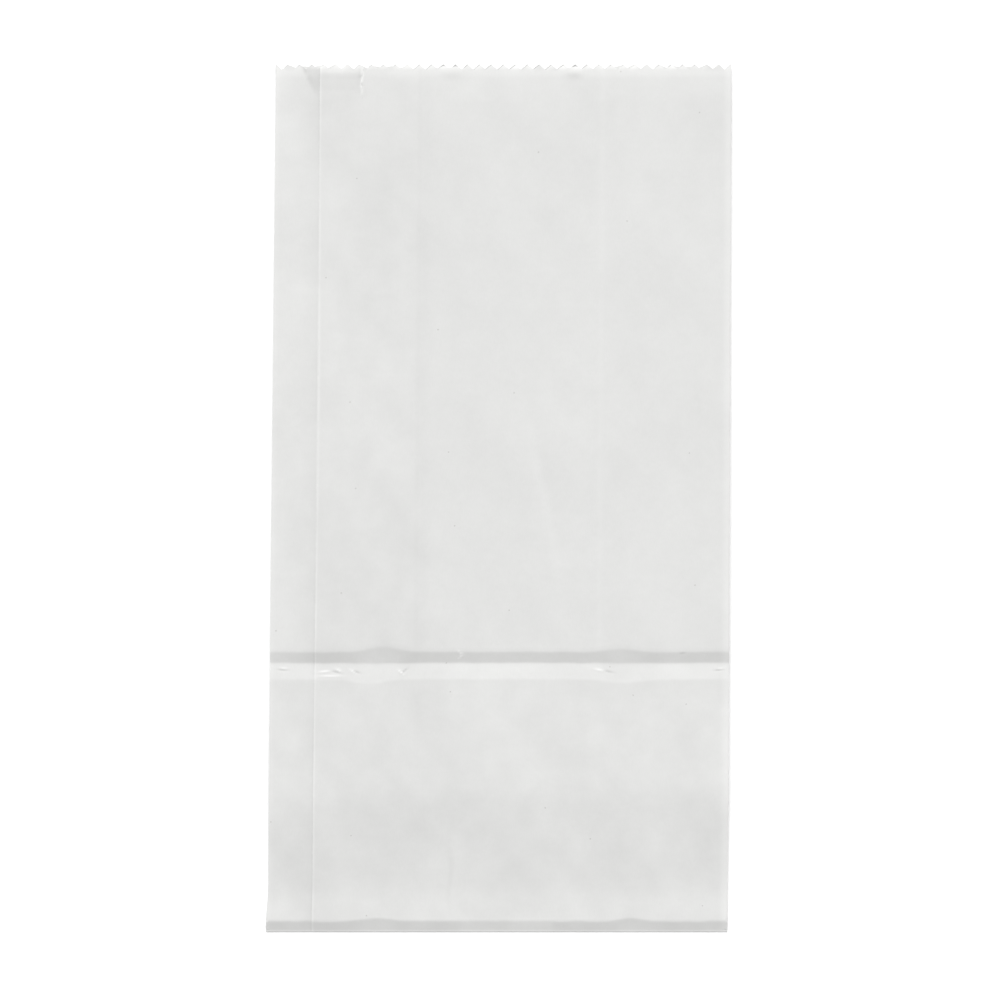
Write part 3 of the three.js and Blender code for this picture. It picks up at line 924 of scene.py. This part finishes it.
class BAG_OT_studio(bpy.types.Operator):
    """Make the floor, the lights and the camera"""

    bl_idname = "popcorn_bag.studio"
    bl_label = "Studio"

    def execute(self, context):
        scene = context.scene
        look = scene.bag_look
        scene.view_settings.view_transform = "Standard"

        self.make_floor(scene, look.floor_color)
        self.make_key(scene)
        self.make_world(scene)
        self.make_camera(scene)
        return {"FINISHED"}

    def make_floor(self, scene, color):
        """The white floor that the bag lies on, just under it"""
        size, gap = 4, 0.02 * MM
        mesh = bpy.data.meshes.new("floor")
        bm = bmesh.new()
        bmesh.ops.create_grid(bm, x_segments=1, y_segments=1, size=size)
        bm.to_mesh(mesh)
        bm.free()
        floor = bpy.data.objects.new("floor", mesh)
        floor.location.z = -gap
        scene.collection.objects.link(floor)
        mesh.materials.append(self.floor_material(color))

    def make_key(self, scene):
        """A wide soft light from beyond the mouth"""
        key = bpy.data.lights.new("key", "SUN")
        key.energy = 3.24
        key.angle = math.radians(50)
        lamp = bpy.data.objects.new("key", key)
        towards = Vector((-0.04, 0.80, 0.76))
        lamp.rotation_euler = towards.to_track_quat("Z", "Y").to_euler()
        lamp.location = towards
        scene.collection.objects.link(lamp)

    def make_world(self, scene):
        """Even light from all sides, seen as plain white"""
        world = bpy.data.worlds.new("studio")
        scene.world = world
        world.use_nodes = True
        nodes, links = world.node_tree.nodes, world.node_tree.links
        nodes["Background"].inputs["Color"].default_value = (1, 1, 1, 1)
        nodes["Background"].inputs["Strength"].default_value = 0.28
        white = nodes.new("ShaderNodeBackground")
        white.inputs["Color"].default_value = (1, 1, 1, 1)
        path, mix = nodes.new("ShaderNodeLightPath"), nodes.new("ShaderNodeMixShader")
        links.new(path.outputs["Is Camera Ray"], mix.inputs[0])
        links.new(nodes["Background"].outputs[0], mix.inputs[1])
        links.new(white.outputs[0], mix.inputs[2])
        links.new(mix.outputs[0], nodes["World Output"].inputs["Surface"])

    def make_camera(self, scene):
        """Looks straight down but for a small tilt, with a picture 330.7 mm across at the table"""
        distance, across = 1.15, 0.3307
        tilt = math.radians(2.3)
        aim = Vector((-0.25 * MM, -1.4 * MM, 0))
        camera = bpy.data.cameras.new("camera")
        camera.sensor_width = 36
        camera.lens = camera.sensor_width * distance / across
        camera.clip_start, camera.clip_end = 0.05, 20
        eye = bpy.data.objects.new("camera", camera)
        eye.location = aim + Vector((0, -math.sin(tilt), math.cos(tilt))) * distance
        eye.rotation_euler = (tilt, 0, 0)
        scene.collection.objects.link(eye)
        scene.camera = eye

    def floor_material(self, color):
        """Plain white as the camera sees it, and light grey in the light that it gives back"""
        material = bpy.data.materials.new("Floor")
        material.use_nodes = True
        nodes, links = material.node_tree.nodes, material.node_tree.links
        nodes.remove(nodes["Principled BSDF"])
        seen, bounced = nodes.new("ShaderNodeBsdfDiffuse"), nodes.new("ShaderNodeBsdfDiffuse")
        seen.inputs["Color"].default_value = (1.18, 1.18, 1.18, 1)
        bounced.inputs["Color"].default_value = color
        path, mix = nodes.new("ShaderNodeLightPath"), nodes.new("ShaderNodeMixShader")
        links.new(path.outputs["Is Camera Ray"], mix.inputs[0])
        links.new(bounced.outputs[0], mix.inputs[1])
        links.new(seen.outputs[0], mix.inputs[2])
        links.new(mix.outputs[0], nodes["Material Output"].inputs["Surface"])
        return material


class BAG_PT_sidebar(bpy.types.Panel):
    """Lists the bag's sizes, colours and pieces"""

    bl_idname = "BAG_PT_sidebar"
    bl_label = "Popcorn Bag"
    bl_space_type = "VIEW_3D"
    bl_region_type = "UI"
    bl_category = "Popcorn Bag"

    def draw(self, context):
        layout = self.layout
        for group in (context.scene.bag_sizes, context.scene.bag_look):
            for name in group.__annotations__:
                layout.prop(group, name)
        for operator in OPERATORS:
            layout.operator(operator.bl_idname)


OPERATORS = (
    BAG_OT_paper, BAG_OT_seam_face, BAG_OT_back_panel, BAG_OT_gussets, BAG_OT_bottom, BAG_OT_studio,
)
CLASSES = (BagSizes, PaperLook, *OPERATORS, BAG_PT_sidebar)


def register():
    for item in CLASSES:
        bpy.utils.register_class(item)
    bpy.types.Scene.bag_sizes = bpy.props.PointerProperty(type=BagSizes)
    bpy.types.Scene.bag_look = bpy.props.PointerProperty(type=PaperLook)


def unregister():
    del bpy.types.Scene.bag_look
    del bpy.types.Scene.bag_sizes
    for item in reversed(CLASSES):
        bpy.utils.unregister_class(item)


def main():
    register()
    bpy.ops.popcorn_bag.paper()
    bpy.ops.popcorn_bag.seam_face()
    bpy.ops.popcorn_bag.back_panel()
    bpy.ops.popcorn_bag.gussets()
    bpy.ops.popcorn_bag.bottom()
    bpy.ops.popcorn_bag.studio()


if __name__ == "__main__":
    main()
